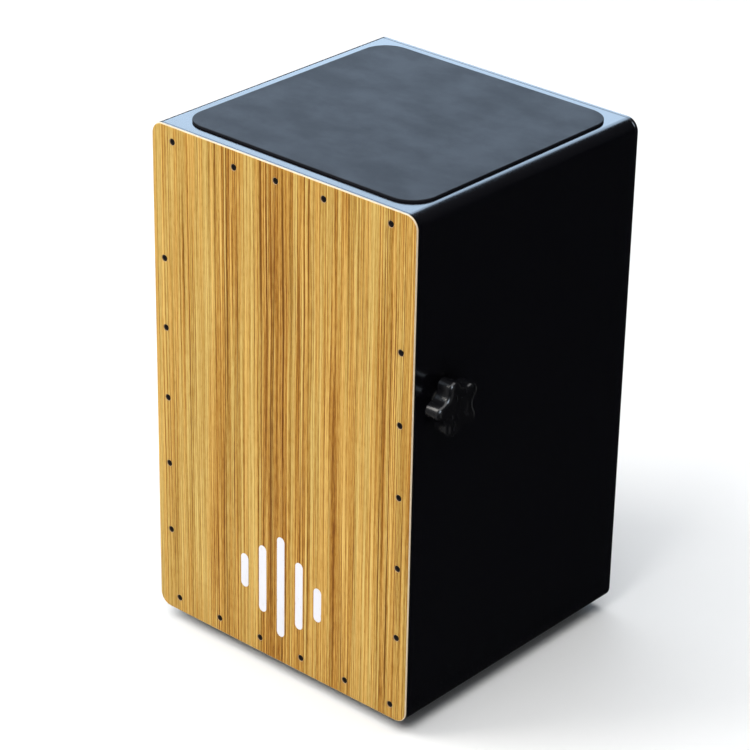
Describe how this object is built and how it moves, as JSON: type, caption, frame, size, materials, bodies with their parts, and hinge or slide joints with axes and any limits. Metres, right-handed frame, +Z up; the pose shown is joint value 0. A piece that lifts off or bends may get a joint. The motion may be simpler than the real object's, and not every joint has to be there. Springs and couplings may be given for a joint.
{
  "type": "cajon",
  "caption": "Plywood box drum with a screwed-on zebrano striking plate, black lacquered shell, rear sound hole, thin seat pad, rubber feet and a star knob that turns the inner snares.",
  "frame": {"origin": "on the floor under the feet, in the middle of the bounding box, which reaches from the left wall to the face of the knob on the right", "axes": "+Z up, -Y forward out of the striking plate, +X to the player's left, the side that carries the snare knob"},
  "size_m": [0.323, 0.29, 0.4942],
  "materials": {
    "zebrano": "zebrano veneer on thin plywood, clear satin lacquer, straight vertical stripes",
    "black_lacquer": "plywood with semi-gloss black lacquer",
    "bare_wood": "bare sanded wood",
    "pad": "fine-grained dark grey foam rubber sheet",
    "rubber": "matt black rubber",
    "knob_plastic": "glossy black moulded plastic",
    "nylon": "natural nylon",
    "black_screw": "black-finished steel",
    "steel": "bright zinc-plated steel"
  },
  "bodies": {
    "cabinet": {"front_plate": "zebrano", "top_panel": "black_lacquer", "bottom_panel": "black_lacquer", "left_side_panel": "black_lacquer", "right_side_panel": "black_lacquer", "back_panel": "black_lacquer", "seat_pad": "pad", "front_batten_top": "bare_wood", "front_batten_bottom": "bare_wood", "front_batten_right": "bare_wood", "front_batten_left": "bare_wood", "rear_batten_top": "bare_wood", "rear_batten_bottom": "bare_wood", "rear_batten_right": "bare_wood", "rear_batten_left": "bare_wood", "plate_screw_01": "black_screw", "plate_screw_02": "black_screw", "plate_screw_03": "black_screw", "plate_screw_04": "black_screw", "plate_screw_05": "black_screw", "plate_screw_06": "black_screw", "plate_screw_07": "black_screw", "plate_screw_08": "black_screw", "plate_screw_09": "black_screw", "plate_screw_10": "black_screw", "plate_screw_11": "black_screw", "plate_screw_12": "black_screw", "plate_screw_13": "black_screw", "plate_screw_14": "black_screw", "plate_screw_15": "black_screw", "plate_screw_16": "black_screw", "plate_screw_17": "black_screw", "plate_screw_18": "black_screw", "plate_screw_19": "black_screw", "plate_screw_20": "black_screw", "plate_screw_21": "black_screw", "foot_front_left": "rubber", "foot_front_right": "rubber", "foot_rear_left": "rubber", "foot_rear_right": "rubber", "foot_screw_front_left": "steel", "foot_screw_front_right": "steel", "foot_screw_rear_left": "steel", "foot_screw_rear_right": "steel", "wall_bush": "nylon", "knob_washer": "steel", "friction_washer": "rubber", "pivot_block": "bare_wood", "bar_stop": "bare_wood"},
    "snares": {"snare_knob": "knob_plastic", "knob_stud": "steel", "lock_nut": "steel", "snare_bar": "bare_wood", "pivot_pin": "steel", "snare_wires_left": "steel", "snare_wires_right": "steel", "snare_screw_left_1": "steel", "snare_screw_left_2": "steel", "snare_screw_right_1": "steel", "snare_screw_right_2": "steel"}
  },
  "joints": [
    {"name": "snare_turn", "type": "hinge", "parent": "cabinet", "child": "snares", "pos_m": [-0.0115, -0.112, 0.318], "axis": [-1, 0, 0], "range_deg": [0, 30]}
  ]
}
